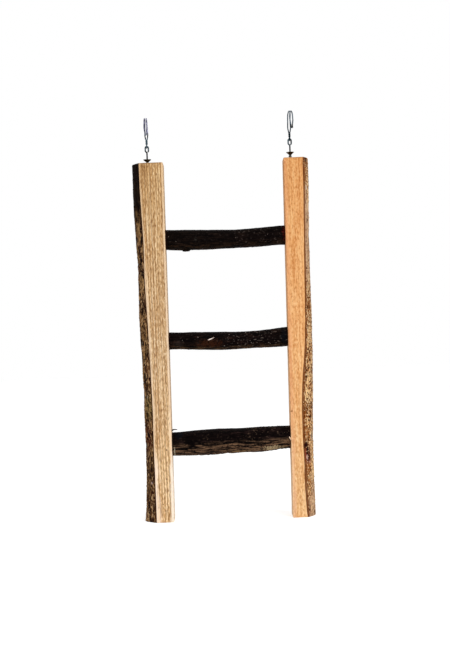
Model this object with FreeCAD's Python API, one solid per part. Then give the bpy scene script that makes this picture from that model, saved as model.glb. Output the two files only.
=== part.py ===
import FreeCAD
import Part
import math
import os
from FreeCAD import Vector

# Hanging ladder for small rodents. Millimetres, X across, Y from front to back, Z up.
# The origin lies on the ground between the feet, under the middle of the whole width.

# Rails: strips sawn from thin logs, with the bark left on their outer edge
rail_length = 280.0
rail_depth = 21.0
span_at_feet = 92.4          # clear width between the two inner faces
span_at_top = 94.1
rack = 2.4                   # how far the hand-made frame leans out of square at its top
bark_crest = 3.0             # how far behind mid-depth the bark stands out most
bark_turn_in = 2.6           # how much narrower the back face is than the crest
log_overcut = 2.5            # how far the round log reaches past the saw cuts
left_width = 24.9            # with the bark, at the widest
right_width = 19.9
# Share of the length, then sawn front face and whole width as shares of the widest
left_outline = [
    (0.00, 0.557, 0.935),
    (0.06, 0.557, 0.883),
    (0.15, 0.569, 0.855),
    (0.25, 0.574, 0.851),
    (0.35, 0.577, 0.855),
    (0.45, 0.606, 0.879),
    (0.55, 0.637, 0.919),
    (0.65, 0.682, 0.911),
    (0.75, 0.686, 0.927),
    (0.85, 0.717, 0.980),
    (0.93, 0.750, 0.996),
    (1.00, 0.758, 1.000),
]
right_outline = [
    (0.00, 0.608, 0.940),
    (0.11, 0.533, 0.920),
    (0.22, 0.503, 0.910),
    (0.34, 0.508, 0.945),
    (0.46, 0.648, 0.980),
    (0.58, 0.714, 0.977),
    (0.72, 0.734, 0.965),
    (0.86, 0.764, 0.980),
    (1.00, 0.784, 1.000),
]

# Rungs: pieces of branch in their bark, sawn off square against the rails
top_rung_drop = 60.5         # down from the rails' top ends
bottom_rung_rise = 61.0      # up from the feet; the middle rung is halfway between the two
top_diameter = 15.2
middle_diameter = 13.8
bottom_diameter = 19.2
# Share of the span, then lift of the axis and thickness as shares of the diameter
rung_shape = {
    "top": [
        (0.00, 0.063, 1.007),
        (0.16, -0.003, 1.059),
        (0.36, -0.023, 1.016),
        (0.57, -0.039, 0.961),
        (0.80, 0.013, 0.970),
        (1.00, 0.053, 0.987),
    ],
    "middle": [
        (0.00, 0.033, 0.993),
        (0.10, 0.025, 0.949),
        (0.32, -0.037, 1.029),
        (0.60, -0.072, 0.978),
        (0.82, -0.025, 1.014),
        (1.00, 0.062, 1.094),
    ],
    "bottom": [
        (0.00, -0.055, 0.945),
        (0.18, -0.047, 1.010),
        (0.40, -0.021, 1.042),
        (0.61, -0.008, 0.995),
        (0.76, 0.000, 1.016),
        (0.88, 0.031, 0.964),
        (1.00, 0.052, 0.927),
    ],
}
# Stumps of side twigs: share of the span, turn about the axis from straight up in degrees,
# then width and height above the bark as shares of the diameter
twig_stumps = {
    "top": [(0.17, 185.0, 0.60, 0.050)],
    "middle": [(0.70, 140.0, 0.37, 0.067)],
    "bottom": [(0.30, 150.0, 0.37, 0.058), (0.72, 60.0, 0.29, 0.053)],
}
trim_allowance = 2.0         # what each rung is cut longer by before it is trimmed

# Countersunk wood screws, one through each rail into each rung end
screw_diameter = 3.0
screw_length = 35.0
screw_tip = 5.0
screw_head = 5.6
screw_head_land = 0.3
screw_head_sink = 1.2        # head below the bark
cross_slot_width = 0.8
cross_slot_reach = 3.0
cross_slot_depth = 1.2
drive_fit = 0.02             # all round a screw that is driven into wood

# Screw eyes with a dished collar: one wire bent into a tall narrow ring
eye_wire = 1.15
eye_bore = 1.3               # width inside the ring
eye_side = 2.0               # straight run on each side of the ring
eye_neck_radius = 1.2
eye_end_angle = -60.0        # where the cut end of the ring stops beside the neck
eye_foot_height = 6.4        # inside bottom of the ring above the collar's rim
eye_thread_length = 22.0     # from the rim down to the point
eye_point = 3.0
eye_inset = {"left": 12.4, "right": 5.8}       # from the rail's inner face
collar_proud = {"left": 3.8, "right": 5.4}     # rim above the end grain
collar_diameter = 6.2
collar_land = 0.3            # thickness of the rim's edge
collar_dish = 1.5            # depth of the hollow in the top
collar_waist = 1.9
collar_waist_top = 2.1       # how far below the rim the waist starts
collar_waist_end = 2.5
collar_foot = 2.7
collar_height = 3.8

# Link hooks: one wire, looped through the ring, twisted, and bent over as a narrow pair
hook_wire = 0.95
link_clearance = 0.2
hook_height = 21.7           # crown of the hook above the ring's top wire
hook_reach = 8.4             # from stem to tip leg
hook_tip_height = 7.1
hook_tip_flare = 0.8
hook_leg_spread = 2.3        # between the two strands low on the stem and the tip leg
hook_crown_spread = 1.4      # between them over the crown
strand_gap = 0.12            # between the strands where they are twisted
leg_height = 0.6             # where the two legs of the loop lean in towards the twist
leg_bend = 1.0
twist_start = 1.4
twist_end = 5.3
twist_turns = 1.25
twist_steps = 10
twist_bend = 1.75            # bend of each step of the twist, as a share of the twist's radius
spread_height = 8.5          # where the strands are furthest apart again
tip_taper_height = 13.5
tip_close_height = 9.4
hanger_yaw = {"left": 0.0, "right": 11.0}      # how far each eye, and its hook, is turned in the wood

# Sizes that follow from the ones above
half_depth = rail_depth / 2
side_sign = {"left": -1.0, "right": 1.0}
rail_width = {"left": left_width, "right": right_width}
rail_outline = {"left": left_outline, "right": right_outline}
rung_diameter = {"top": top_diameter, "middle": middle_diameter, "bottom": bottom_diameter}
rung_height = {
    "top": rail_length - top_rung_drop,
    "middle": (rail_length - top_rung_drop + bottom_rung_rise) / 2,
    "bottom": bottom_rung_rise,
}
eye_radius = (eye_bore + eye_wire) / 2
eye_low_centre = eye_foot_height + eye_bore / 2
eye_top_centre = eye_low_centre + eye_side
twist_radius = (hook_wire + strand_gap) / 2
link_radius = (eye_wire + hook_wire) / 2 + link_clearance
same_place = 1e-6            # points nearer to each other than this are one point


def between(low, high, share):
    return low + (high - low) * share


def half_span(side, height):
    """Distance of a rail's inner face from the middle of the feet, at a height."""
    share = height / rail_length
    return between(span_at_feet, span_at_top, share) / 2 + side_sign[side] * rack * share


def rail_stations(side):
    """Height, width of the sawn front face and width with the bark, from the foot up."""
    width = rail_width[side]
    return [(share * rail_length, face * width, full * width) for share, face, full in rail_outline[side]]


def reach(side):
    """How far a rail's bark stands out from the middle of the feet, at its widest."""
    return max(half_span(side, height) + full for height, face, full in rail_stations(side))


# The origin is halfway between the outermost bark on the two sides
centring = (reach("left") - reach("right")) / 2


def inner_face(side, height):
    """Distance of a rail's inner face from the origin's plane, at a height."""
    return half_span(side, height) + side_sign[side] * centring


def polygon(points):
    return Part.makePolygon(points + [points[0]])


def turned(profile):
    """Solid of revolution about Z from (radius, height) pairs."""
    outline = polygon([Vector(radius, 0, height) for radius, height in profile])
    return Part.Face(outline).revolve(Vector(0, 0, 0), Vector(0, 0, 1), 360)


def aimed(shape, place, direction):
    """Copy of a shape made along Z, standing at place and pointing in direction."""
    copy = shape.copy()
    copy.Placement = FreeCAD.Placement(place, FreeCAD.Rotation(Vector(0, 0, 1), direction))
    return copy


def stood(shape, place, yaw):
    """Copy of an upright shape, turned about the upright and standing at place."""
    copy = shape.copy()
    copy.Placement = FreeCAD.Placement(place, FreeCAD.Rotation(Vector(0, 0, 1), yaw))
    return copy


def log_section(side, height, face, full):
    """Closed outline of the log across the rail: a curved bark edge and a plain inside."""
    sign = side_sign[side]
    inner = inner_face(side, height)
    front = -half_depth
    back = half_depth
    swell = full - face
    lead_in = swell * log_overcut / (bark_crest + half_depth) * 1.5

    def place(outward, depth):
        return Vector(sign * (inner + outward), depth, height)

    bark = Part.BSplineCurve()
    bark.interpolate([
        place(face - lead_in, front - log_overcut),
        place(face, front),
        place(full, bark_crest),
        place(full - bark_turn_in, back),
        place(full - 2 * bark_turn_in, back + log_overcut),
    ])
    start = bark.value(bark.FirstParameter)
    end = bark.value(bark.LastParameter)
    inside_back = place(-log_overcut, back + log_overcut)
    inside_front = place(-log_overcut, front - log_overcut)
    straight = [(end, inside_back), (inside_back, inside_front), (inside_front, start)]
    edges = [bark.toShape()] + [Part.makeLine(a, b) for a, b in straight]
    return Part.Wire(edges)


def sawn_slab(side, width):
    """Flat-sided strip that the saw leaves: inner face, front, back and both ends."""
    sign = side_sign[side]
    foot = inner_face(side, 0)
    top = inner_face(side, rail_length)
    outline = polygon([
        Vector(sign * foot, -half_depth, 0),
        Vector(sign * (foot + width), -half_depth, 0),
        Vector(sign * (top + width), -half_depth, rail_length),
        Vector(sign * top, -half_depth, rail_length),
    ])
    return Part.Face(outline).extrude(Vector(0, rail_depth, 0))


def make_rail(side):
    """Live-edge rail: a round log cut down to the saw's slab, with its bark edge kept."""
    log = Part.makeLoft([log_section(side, *row) for row in rail_stations(side)], True, False)
    return sawn_slab(side, rail_width[side] + 2 * log_overcut).common(log)


def rung_axis(name, share):
    """Point on a rung's axis and the thickness there, at a share of the span."""
    level = rung_height[name]
    diameter = rung_diameter[name]
    x = between(-inner_face("left", level), inner_face("right", level), share)
    shape = rung_shape[name]
    for (low, low_lift, low_size), (high, high_lift, high_size) in zip(shape, shape[1:]):
        if low <= share <= high:
            part = (share - low) / (high - low)
            lift = between(low_lift, high_lift, part) * diameter
            size = between(low_size, high_size, part) * diameter
            return Vector(x, 0, level + lift), size


def make_stump(name, share, turn, width, height):
    """Short stub of a side twig, standing out of the bark."""
    centre, size = rung_axis(name, share)
    angle = math.radians(turn)
    outward = Vector(0, math.sin(angle), math.cos(angle))
    middle = width * rung_diameter[name] / 2
    length = size / 2 + height * rung_diameter[name]
    return Part.makeCone(middle * 1.4, middle * 0.6, length, centre, outward)


def make_rung(name):
    """Branch of changing thickness, trimmed square against both inner faces."""
    circles = []
    for share, _, _ in rung_shape[name]:
        centre, size = rung_axis(name, share)
        if share == 0:
            centre.x -= trim_allowance
        if share == 1:
            centre.x += trim_allowance
        circles.append(Part.Wire(Part.makeCircle(size / 2, centre, Vector(1, 0, 0))))
    branch = Part.makeLoft(circles, True, False)
    for stump in twig_stumps[name]:
        branch = branch.fuse(make_stump(name, *stump))
    gap = polygon([
        Vector(-inner_face("left", 0), -rail_depth, 0),
        Vector(inner_face("right", 0), -rail_depth, 0),
        Vector(inner_face("right", rail_length), -rail_depth, rail_length),
        Vector(-inner_face("left", rail_length), -rail_depth, rail_length),
    ])
    return branch.common(Part.Face(gap).extrude(Vector(0, 2 * rail_depth, 0)))


def screw_profile(fit, above):
    """Countersunk screw from its head at height 0 down to its point."""
    head = screw_head / 2 + fit
    shank = screw_diameter / 2 + fit
    cone = head - shank
    return [
        (0, above),
        (head, above),
        (head, -screw_head_land),
        (shank, -screw_head_land - cone),
        (shank, screw_tip - screw_length),
        (0, -screw_length - fit),
    ]


def make_screw():
    screw = turned(screw_profile(0, 0))
    for length, width in [(cross_slot_reach, cross_slot_width), (cross_slot_width, cross_slot_reach)]:
        corner = Vector(-length / 2, -width / 2, -cross_slot_depth)
        screw = screw.cut(Part.makeBox(length, width, cross_slot_depth, corner))
    return screw


def bark_reach(rail, height):
    """How far out the bark stands on the middle of the edge at a height."""
    box = rail.BoundBox
    across = Part.makeLine(Vector(box.XMin, 0, height), Vector(box.XMax, 0, height))
    inside = rail.common(across).BoundBox
    return max(abs(inside.XMin), abs(inside.XMax))


def make_eye():
    """Wire eye on a straight pointed shank: rim of the collar at 0, ring above, point below."""
    low_centre = Vector(0, 0, eye_low_centre)
    top_centre = Vector(0, 0, eye_top_centre)
    neck = eye_low_centre - math.sqrt(eye_radius ** 2 + 2 * eye_radius * eye_neck_radius)
    bend_centre = Vector(-eye_neck_radius, 0, neck)
    tangent_angle = math.atan2(neck - eye_low_centre, -eye_neck_radius)
    end_angle = math.radians(eye_end_angle)

    def on_circle(middle, radius, angle):
        return middle + Vector(radius * math.cos(angle), 0, radius * math.sin(angle))

    foot = Vector(0, 0, eye_point - eye_thread_length)
    shank_top = Vector(0, 0, neck)
    meeting = on_circle(low_centre, eye_radius, tangent_angle)
    neck_middle = on_circle(bend_centre, eye_neck_radius, (tangent_angle + math.pi) / 2)
    left_middle = on_circle(low_centre, eye_radius, (tangent_angle - math.pi) / 2)
    right_middle = on_circle(low_centre, eye_radius, end_angle / 2)
    aside = Vector(eye_radius, 0, 0)
    path = Part.Wire([
        Part.makeLine(foot, shank_top),
        Part.Arc(shank_top, neck_middle, meeting).toShape(),
        Part.Arc(meeting, left_middle, low_centre - aside).toShape(),
        Part.makeLine(low_centre - aside, top_centre - aside),
        Part.Arc(top_centre - aside, top_centre + Vector(0, 0, eye_radius), top_centre + aside).toShape(),
        Part.makeLine(top_centre + aside, low_centre + aside),
        Part.Arc(low_centre + aside, right_middle, on_circle(low_centre, eye_radius, end_angle)).toShape(),
    ])
    section = Part.Face(Part.Wire(Part.makeCircle(eye_wire / 2, foot, Vector(0, 0, 1))))
    point = Part.makeCone(eye_wire / 2, 0, eye_point, foot, Vector(0, 0, -1))
    return path.makePipe(section).fuse(point).removeSplitter()


def make_collar():
    """Thin dished collar pressed on the eye's shank: wide rim, narrow waist, flared foot."""
    bore = eye_wire / 2 + drive_fit
    return turned([
        (bore, -collar_dish),
        (collar_diameter / 2, 0),
        (collar_diameter / 2, -collar_land),
        (collar_waist / 2, -collar_waist_top),
        (collar_waist / 2, -collar_waist_end),
        (collar_foot / 2, -collar_height),
        (bore, -collar_height),
    ])


def bent_wire(corners, diameter):
    """Round wire along straight runs, with a tangent arc of the given radius at each corner."""
    edges = []
    here = corners[0][0]
    for (before, _), (corner, radius), (after, _) in zip(corners, corners[1:], corners[2:]):
        incoming = (corner - before).normalize()
        outgoing = (after - corner).normalize()
        turn = incoming.getAngle(outgoing)
        setback = radius * math.tan(turn / 2)
        start = corner - incoming * setback
        end = corner + outgoing * setback
        to_centre = (outgoing - incoming).normalize()
        middle = corner + to_centre * (radius / math.cos(turn / 2) - radius)
        if here.distanceToPoint(start) > same_place:
            edges.append(Part.makeLine(here, start))
        edges.append(Part.Arc(start, middle, end).toShape())
        here = end
    last = corners[-1][0]
    if here.distanceToPoint(last) > same_place:
        edges.append(Part.makeLine(here, last))
    first = corners[0][0]
    facing = corners[1][0] - first
    section = Part.Face(Part.Wire(Part.makeCircle(diameter / 2, first, facing)))
    return Part.Wire(edges).makePipe(section)


def hook_strand(side):
    """Half of the hook's wire: from under the ring, through the twist, over to the closed tip."""
    wide = side * hook_leg_spread / 2
    narrow = side * hook_crown_spread / 2
    crown = hook_height - hook_wire / 2
    tip_reach = -hook_reach - hook_tip_flare
    tip = hook_tip_height + hook_wire / 2
    corners = [
        (Vector(0, 0, -link_radius), 0),
        (Vector(0, side * link_radius, -link_radius), link_radius),
        (Vector(0, side * link_radius, leg_height), leg_bend),
    ]
    for step in range(twist_steps + 1):
        share = step / twist_steps
        angle = 2 * math.pi * twist_turns * (1 - share)
        across = side * twist_radius * math.cos(angle)
        deep = side * twist_radius * math.sin(angle)
        at_end = step in (0, twist_steps)
        bend = twist_radius * (twist_bend / 2 if at_end else twist_bend)
        corners.append((Vector(across, deep, between(twist_start, twist_end, share)), bend))
    corners += [
        (Vector(wide, 0, spread_height), hook_reach),
        (Vector(narrow, 0, crown), hook_reach / 2),
        (Vector(narrow, -hook_reach, crown), hook_reach / 2),
        (Vector(wide, -hook_reach, tip_taper_height), hook_reach),
        (Vector(side * twist_radius, -hook_reach, tip_close_height), hook_reach / 4),
        (Vector(side * twist_radius, tip_reach, tip), twist_radius),
        (Vector(0, tip_reach, tip), 0),
    ]
    return bent_wire(corners, hook_wire)


def make_hook():
    return hook_strand(1).fuse(hook_strand(-1)).removeSplitter()


def build():
    """All pieces at rest, by name."""
    rails = {side: make_rail(side) for side in rail_outline}
    rungs = {name: make_rung(name) for name in rung_height}
    pieces = {}

    screw = make_screw()
    screw_cutter = turned(screw_profile(drive_fit, 2 * screw_head))
    for name in rung_height:
        for side, share in [("left", 0.0), ("right", 1.0)]:
            sign = side_sign[side]
            end, size = rung_axis(name, share)
            head = sign * (bark_reach(rails[side], end.z) - screw_head_sink)
            place = Vector(head, 0, end.z)
            outward = Vector(sign, 0, 0)
            pieces["screw_%s_%s" % (name, side)] = aimed(screw, place, outward)
            hole = aimed(screw_cutter, place, outward)
            rails[side] = rails[side].cut(hole)
            rungs[name] = rungs[name].cut(hole)

    eye = make_eye()
    collar = make_collar()
    hook = make_hook()
    eye_hole = Part.makeCylinder(
        eye_wire / 2 + drive_fit, eye_thread_length + collar_diameter, Vector(0, 0, -eye_thread_length)
    )
    for side in ("left", "right"):
        across = side_sign[side] * (inner_face(side, rail_length) + eye_inset[side])
        rim = Vector(across, 0, rail_length + collar_proud[side])
        pivot = rim + Vector(0, 0, eye_top_centre + eye_radius)
        pieces["screw_eye_" + side] = stood(eye, rim, hanger_yaw[side])
        pieces["collar_" + side] = aimed(collar, rim, Vector(0, 0, 1))
        rails[side] = rails[side].cut(aimed(eye_hole, rim, Vector(0, 0, 1)))
        pieces["hook_" + side] = stood(hook, pivot, hanger_yaw[side])
        print(side, "pivot", round(pivot.x, 3), round(pivot.z, 3))

    for side, rail in rails.items():
        pieces["rail_" + side] = rail
    for name, rung in rungs.items():
        pieces["rung_" + name] = rung
    return pieces


os.makedirs("parts", exist_ok=True)
for node, shape in build().items():
    box = shape.BoundBox
    print(node, len(shape.Solids), shape.isValid(), round(shape.Volume, 2),
          [round(v, 2) for v in (box.XMin, box.XMax, box.YMin, box.YMax, box.ZMin, box.ZMax)])
    shape.exportStep("parts/%s.step" % node)
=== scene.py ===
import math

import bmesh
import bpy
import numpy as np
from mathutils import Matrix, Vector, noise
from mathutils.bvhtree import BVHTree


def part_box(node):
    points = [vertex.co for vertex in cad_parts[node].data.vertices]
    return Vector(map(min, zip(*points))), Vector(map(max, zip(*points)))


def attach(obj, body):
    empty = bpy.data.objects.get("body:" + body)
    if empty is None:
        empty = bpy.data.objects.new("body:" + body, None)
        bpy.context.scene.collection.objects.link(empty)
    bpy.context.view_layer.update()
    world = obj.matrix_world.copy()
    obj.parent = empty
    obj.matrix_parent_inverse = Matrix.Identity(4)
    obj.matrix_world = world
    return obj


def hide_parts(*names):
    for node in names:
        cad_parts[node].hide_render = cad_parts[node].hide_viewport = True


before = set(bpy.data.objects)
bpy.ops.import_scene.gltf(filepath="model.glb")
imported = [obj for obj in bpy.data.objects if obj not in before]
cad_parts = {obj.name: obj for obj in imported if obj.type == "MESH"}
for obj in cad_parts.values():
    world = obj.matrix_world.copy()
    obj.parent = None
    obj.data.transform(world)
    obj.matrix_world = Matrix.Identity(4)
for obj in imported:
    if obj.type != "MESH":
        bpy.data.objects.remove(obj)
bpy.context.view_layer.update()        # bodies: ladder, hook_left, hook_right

mm = 0.001
print("frame loaded:", len(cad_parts), "pieces")


# Small helpers for node trees and meshes

def setSocket(tree, socket, value):
    if isinstance(value, bpy.types.NodeSocket):
        tree.links.new(value, socket)
    else:
        socket.default_value = value


def addNode(tree, kind, inputs=None, **settings):
    node = tree.nodes.new(kind)
    for name, value in settings.items():
        setattr(node, name, value)
    for socket, value in (inputs or {}).items():
        setSocket(tree, node.inputs[socket], value)
    return node


def calc(tree, operation, first, second=0.0, third=0.0):
    return addNode(tree, "ShaderNodeMath", {0: first, 1: second, 2: third}, operation=operation).outputs[0]


def vectorCalc(tree, operation, first, second=(0, 0, 0), third=(0, 0, 0)):
    return addNode(tree, "ShaderNodeVectorMath", {0: first, 1: second, 2: third}, operation=operation).outputs[0]


def ramp(tree, value, low, high, toLow=0.0, toHigh=1.0):
    # straight ramp between two values, held at its ends
    inputs = {"Value": value, "From Min": low, "From Max": high, "To Min": toLow, "To Max": toHigh}
    return addNode(tree, "ShaderNodeMapRange", inputs).outputs[0]


def colour(red, green, blue):
    # screen colour, 0 to 255, as the linear colour that shaders want
    def linear(value):
        share = value / 255
        return share / 12.92 if share <= 0.04045 else ((share + 0.055) / 1.055) ** 2.4
    return (linear(red), linear(green), linear(blue), 1.0)


def blend(tree, factor, first, second, mode="MIX"):
    # three plain numbers are a screen colour, as in the tables below
    inputs = {0: factor}
    for socket, tone in ((6, first), (7, second)):
        inputs[socket] = colour(*tone) if isinstance(tone, tuple) and len(tone) == 3 else tone
    return addNode(tree, "ShaderNodeMix", inputs, data_type="RGBA", blend_type=mode).outputs[2]


def times(tree, first, second):
    return calc(tree, "MULTIPLY", first, second)


def lay(tree, body, tone, source, low, high, share=1.0, where=None):
    # a tone over the body, coming in as the source goes from low to high, and only where it's asked for
    factor = ramp(tree, source, low, high, 0.0, share)
    return blend(tree, factor if where is None else times(tree, factor, where), body, tone)


def grainNoise(tree, place, pitch, along, detail=3.0, roughness=0.55, offset=0.0):
    # noise in cycles per millimetre, drawn out along the grain
    scaled = vectorCalc(tree, "MULTIPLY_ADD", place, along, (offset, offset, offset))
    return addNode(tree, "ShaderNodeTexNoise", {"Vector": scaled, "Scale": pitch, "Detail": detail,
                                                "Roughness": roughness}).outputs[0]


def newMaterial(name, specular=0.5):
    material = bpy.data.materials.new(name)
    material.use_nodes = True
    tree = material.node_tree
    shader = tree.nodes["Principled BSDF"]
    shader.inputs["Specular IOR Level"].default_value = specular
    return material, tree, shader


def placeInMillimetres(tree):
    coords = addNode(tree, "ShaderNodeTexCoord").outputs["Object"]
    return vectorCalc(tree, "MULTIPLY", coords, (1 / mm, 1 / mm, 1 / mm))


def heightOf(tree, place):
    return addNode(tree, "ShaderNodeSeparateXYZ", {0: place}).outputs[2]


def attribute(tree, name):
    return addNode(tree, "ShaderNodeAttribute", attribute_name=name).outputs["Fac"]


def paintSpots(tree, place, body, spots):
    # marks of the real piece, and on the hooks painted shade where the strands of the wire meet: middle and half
    # sizes in millimetres, colour, strength
    uneven = calc(tree, "SUBTRACT", grainNoise(tree, place, 0.75, (1, 1, 0.7), 2.0), 0.5)
    for centre, size, tone, strength in spots:
        offset = vectorCalc(tree, "DIVIDE", vectorCalc(tree, "SUBTRACT", place, centre), size)
        away = addNode(tree, "ShaderNodeVectorMath", {0: offset}, operation="LENGTH").outputs["Value"]
        body = lay(tree, body, tone, calc(tree, "MULTIPLY_ADD", uneven, 2.2, away), 1.2, 0.7, strength)
    return body


def finish(tree, shader, body, relief, depth, roughness):
    # colour, fine relief and roughness into the shader
    bump = addNode(tree, "ShaderNodeBump", {"Height": relief, "Strength": 0.7, "Distance": depth * mm})
    tree.links.new(body, shader.inputs["Base Color"])
    tree.links.new(roughness, shader.inputs["Roughness"])
    tree.links.new(bump.outputs[0], shader.inputs["Normal"])


def newObject(name, vertices, faces):
    mesh = bpy.data.meshes.new(name)
    mesh.from_pydata(vertices, [], faces)
    shell = bmesh.new()
    shell.from_mesh(mesh)
    bmesh.ops.recalc_face_normals(shell, faces=shell.faces)
    shell.to_mesh(mesh)
    shell.free()
    piece = bpy.data.objects.new(name, mesh)
    bpy.context.scene.collection.objects.link(piece)
    return piece


def storeAttribute(piece, name, values, rest=0.0):
    # values for the points of the grid, and one more for all the points of its end caps
    capPoints = len(piece.data.vertices) - values.size
    layer = piece.data.attributes.new(name, "FLOAT", "POINT")
    layer.data.foreach_set("value", np.append(values, np.full(capPoints, rest)).astype(np.float32))


def cadSurface(node):
    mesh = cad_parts[node].data
    return BVHTree.FromPolygons([v.co for v in mesh.vertices], [tuple(p.vertices) for p in mesh.polygons])


def fineNoise(x, y, z, octaves=3):
    return noise.fractal(Vector((x, y, z)), 0.9, 2.1, octaves)


def gridNormals(points, outwardFrom):
    # normals of a grid of points that closes on itself along its second index
    around = np.roll(points, -1, axis=1) - np.roll(points, 1, axis=1)
    along = np.gradient(points, axis=0)
    normals = np.cross(around, along)
    normals /= np.linalg.norm(normals, axis=2, keepdims=True)
    if np.sum(normals * (points - outwardFrom)) < 0:
        normals = -normals
    return normals


def closedGrid(name, points, capScales, capRelief):
    # tube of quads through a grid of points, closed at both ends by rings that shrink to a middle point
    rows, columns, _ = points.shape
    vertices = [tuple(p) for p in points.reshape(-1, 3)]
    rings = [list(range(row * columns, (row + 1) * columns)) for row in range(rows)]

    def band(lower, upper):
        return list(zip(lower, lower[1:] + lower[:1], upper[1:] + upper[:1], upper))

    faces = [face for lower, upper in zip(rings, rings[1:]) for face in band(lower, upper)]
    capStart = len(faces)
    for end, row in (("first", 0), ("last", rows - 1)):
        ring = rings[row]
        middle = points[row].mean(axis=0)
        cap = []
        for scale in capScales:
            for rim in points[row]:
                spot = middle + (rim - middle) * scale
                vertices.append(tuple(spot + capRelief(end, spot, scale)))
            nextRing = list(range(len(vertices) - columns, len(vertices)))
            cap += band(ring, nextRing)
            ring = nextRing
        cap += [(first, second, len(vertices)) for first, second in zip(ring, ring[1:] + ring[:1])]
        vertices.append(tuple(middle + capRelief(end, middle, 0.0)))
        faces += cap if end == "last" else [face[::-1] for face in cap]
    return newObject(name, vertices, faces), capStart


# Rails: sawn strips with their bark edge, read off the frame and given their relief

railShape = {
    "rows": 620,              # along the length
    "frontColumns": 26,
    "barkColumns": 76,
    "backColumns": 18,
    "innerColumns": 22,
    "seatSink": 1.45,         # how deep the screw seats go into the bark, mm
    "arrisWear": 0.20,        # how far the sawn corners are worn back, mm
    "fuzz": 0.05,             # height of the torn grain on the sawn faces, mm
    "sawMark": 0.02,
    "sawPitch": 2.3,
    "patchSway": 26,          # how far the borders of the smooth bark wander, mm
    "rimBand": 0.3,           # points this near to a seat's rim are drawn onto it, mm
    "barkInset": 0.22,        # how far the bark's relief lies within the plain shape, mm
    "noCorner": 50.0,         # distance stored where no corner is near, mm
    "capScales": (0.985, 0.86, 0.7, 0.5, 0.3, 0.12),
}
# relief of the bark in mm; rough is the share of its plates and chips at each of the heights
barkRelief = {
    "left": {
        "ridge": 0.46, "ridgeWidth": 2.4, "ridgeLength": 9.0, "lump": 0.30, "grit": 0.16, "seed": 3.0,
        "heights": (0, 30, 60, 95, 120, 180, 235, 258, 280), "rough": (0.9, 1, 0.7, 1, 1, 1, 0.8, 0.45, 0.35),
    },
    "right": {
        "ridge": 0.34, "ridgeWidth": 1.9, "ridgeLength": 3.6, "lump": 0.26, "grit": 0.16, "seed": 17.0,
        "heights": (0, 22, 36, 150, 178, 200, 252, 262, 280), "rough": (0.35, 0.4, 1, 1, 0.8, 0.25, 0.25, 0.7, 0.8),
    },
}
railSign = {"left": -1.0, "right": 1.0}
rungNames = ("top", "middle", "bottom")


def clustered(count, edge):
    # shares from 0 to 1 with one close step at each end
    return np.concatenate([[0.0, edge], np.linspace(edge * 2.5, 1 - edge * 2.5, count - 4), [1 - edge, 1.0]])


def screwSeats(side):
    # middle and radius of each screw head on a rail, in mm
    seats = []
    for name in rungNames:
        low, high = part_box("screw_%s_%s" % (name, side))
        seats.append(((low.y + high.y) / 2 / mm, (low.z + high.z) / 2 / mm, (high.z - low.z) / 2 / mm))
    return seats


def readRail(side):
    # inner face and bark of the rail in the frame, in mm: heights, inner X, bark depths, bark X
    sign = railSign[side]
    surface = cadSurface("rail_" + side)
    low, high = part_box("rail_" + side)
    halfDepth = (high.y - low.y) / 2
    skin = 0.02 * mm
    heights = np.linspace(low.z, high.z, railShape["rows"])
    depths = np.linspace(-halfDepth, halfDepth, railShape["barkColumns"])
    inner = []
    bark = np.zeros((len(heights), len(depths)))
    for row, height in enumerate(heights):
        level = min(max(height, low.z + skin), high.z - skin)
        hit = surface.ray_cast(Vector((0, halfDepth * 0.9, level)), Vector((sign, 0, 0)))[0]
        inner.append(hit.x)
        for column, depth in enumerate(depths):
            inside = min(max(depth, skin - halfDepth), halfDepth - skin)
            hit = surface.ray_cast(Vector((sign * 0.2, inside, level)), Vector((-sign, 0, 0)))[0]
            bark[row, column] = hit.x if hit else math.nan      # a ray down a screw hole meets nothing
    # bridge over the screw holes
    for seatDepth, seatHeight, seatRadius in screwSeats(side):
        for row, height in enumerate(heights):
            away = np.hypot(depths / mm - seatDepth, height / mm - seatHeight)
            holed = away < seatRadius + 0.35
            if holed.any():
                bark[row, holed] = np.interp(depths[holed], depths[~holed], bark[row, ~holed])
    return heights / mm, np.array(inner) / mm, depths / mm, bark / mm


def barkHeight(spec, around, height, rough):
    # relief of the bark in mm, from its place round the edge and its height
    seed = spec["seed"]
    sway = fineNoise(height / 23, around / 9, seed, 2) * 2.2
    ridge = fineNoise((around + sway) / spec["ridgeWidth"], height / spec["ridgeLength"], seed + 5, 3)
    ridge = 1 - abs(ridge) * 1.7
    lump = fineNoise(around / 6, height / 15, seed + 9, 2)
    grit = fineNoise(around / 0.9, height / 1.3, seed + 13, 3)
    return rough * (spec["ridge"] * (max(ridge, -1) - 0.45) + spec["grit"] * grit) + spec["lump"] * lump


def railGrid(heights, inner, depths, bark):
    # points round the rail, row by row, and which columns are its front, bark, back and inner face
    halfDepth = depths[-1]
    front = clustered(railShape["frontColumns"], 0.02)[:-1]
    back = clustered(railShape["backColumns"], 0.02)[1:]
    inside = clustered(railShape["innerColumns"], 0.015)[1:-1]
    firstBack = len(front) + len(depths)
    firstInside = firstBack + len(back)
    spans = {"front": slice(0, len(front)), "bark": slice(len(front), firstBack),
             "back": slice(firstBack, firstInside), "inner": slice(firstInside, firstInside + len(inside))}
    points = np.zeros((len(heights), firstInside + len(inside), 3))
    points[:, :, 2] = heights[:, None]
    innerX = inner[:, None]
    for span, x, y in (("front", innerX + (bark[:, :1] - innerX) * front, -halfDepth), ("bark", bark, depths),
                       ("back", bark[:, -1:] + (innerX - bark[:, -1:]) * back, halfDepth),
                       ("inner", innerX, halfDepth - 2 * halfDepth * inside)):
        points[:, spans[span], 0] = x
        points[:, spans[span], 1] = y
    return points, spans


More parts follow.
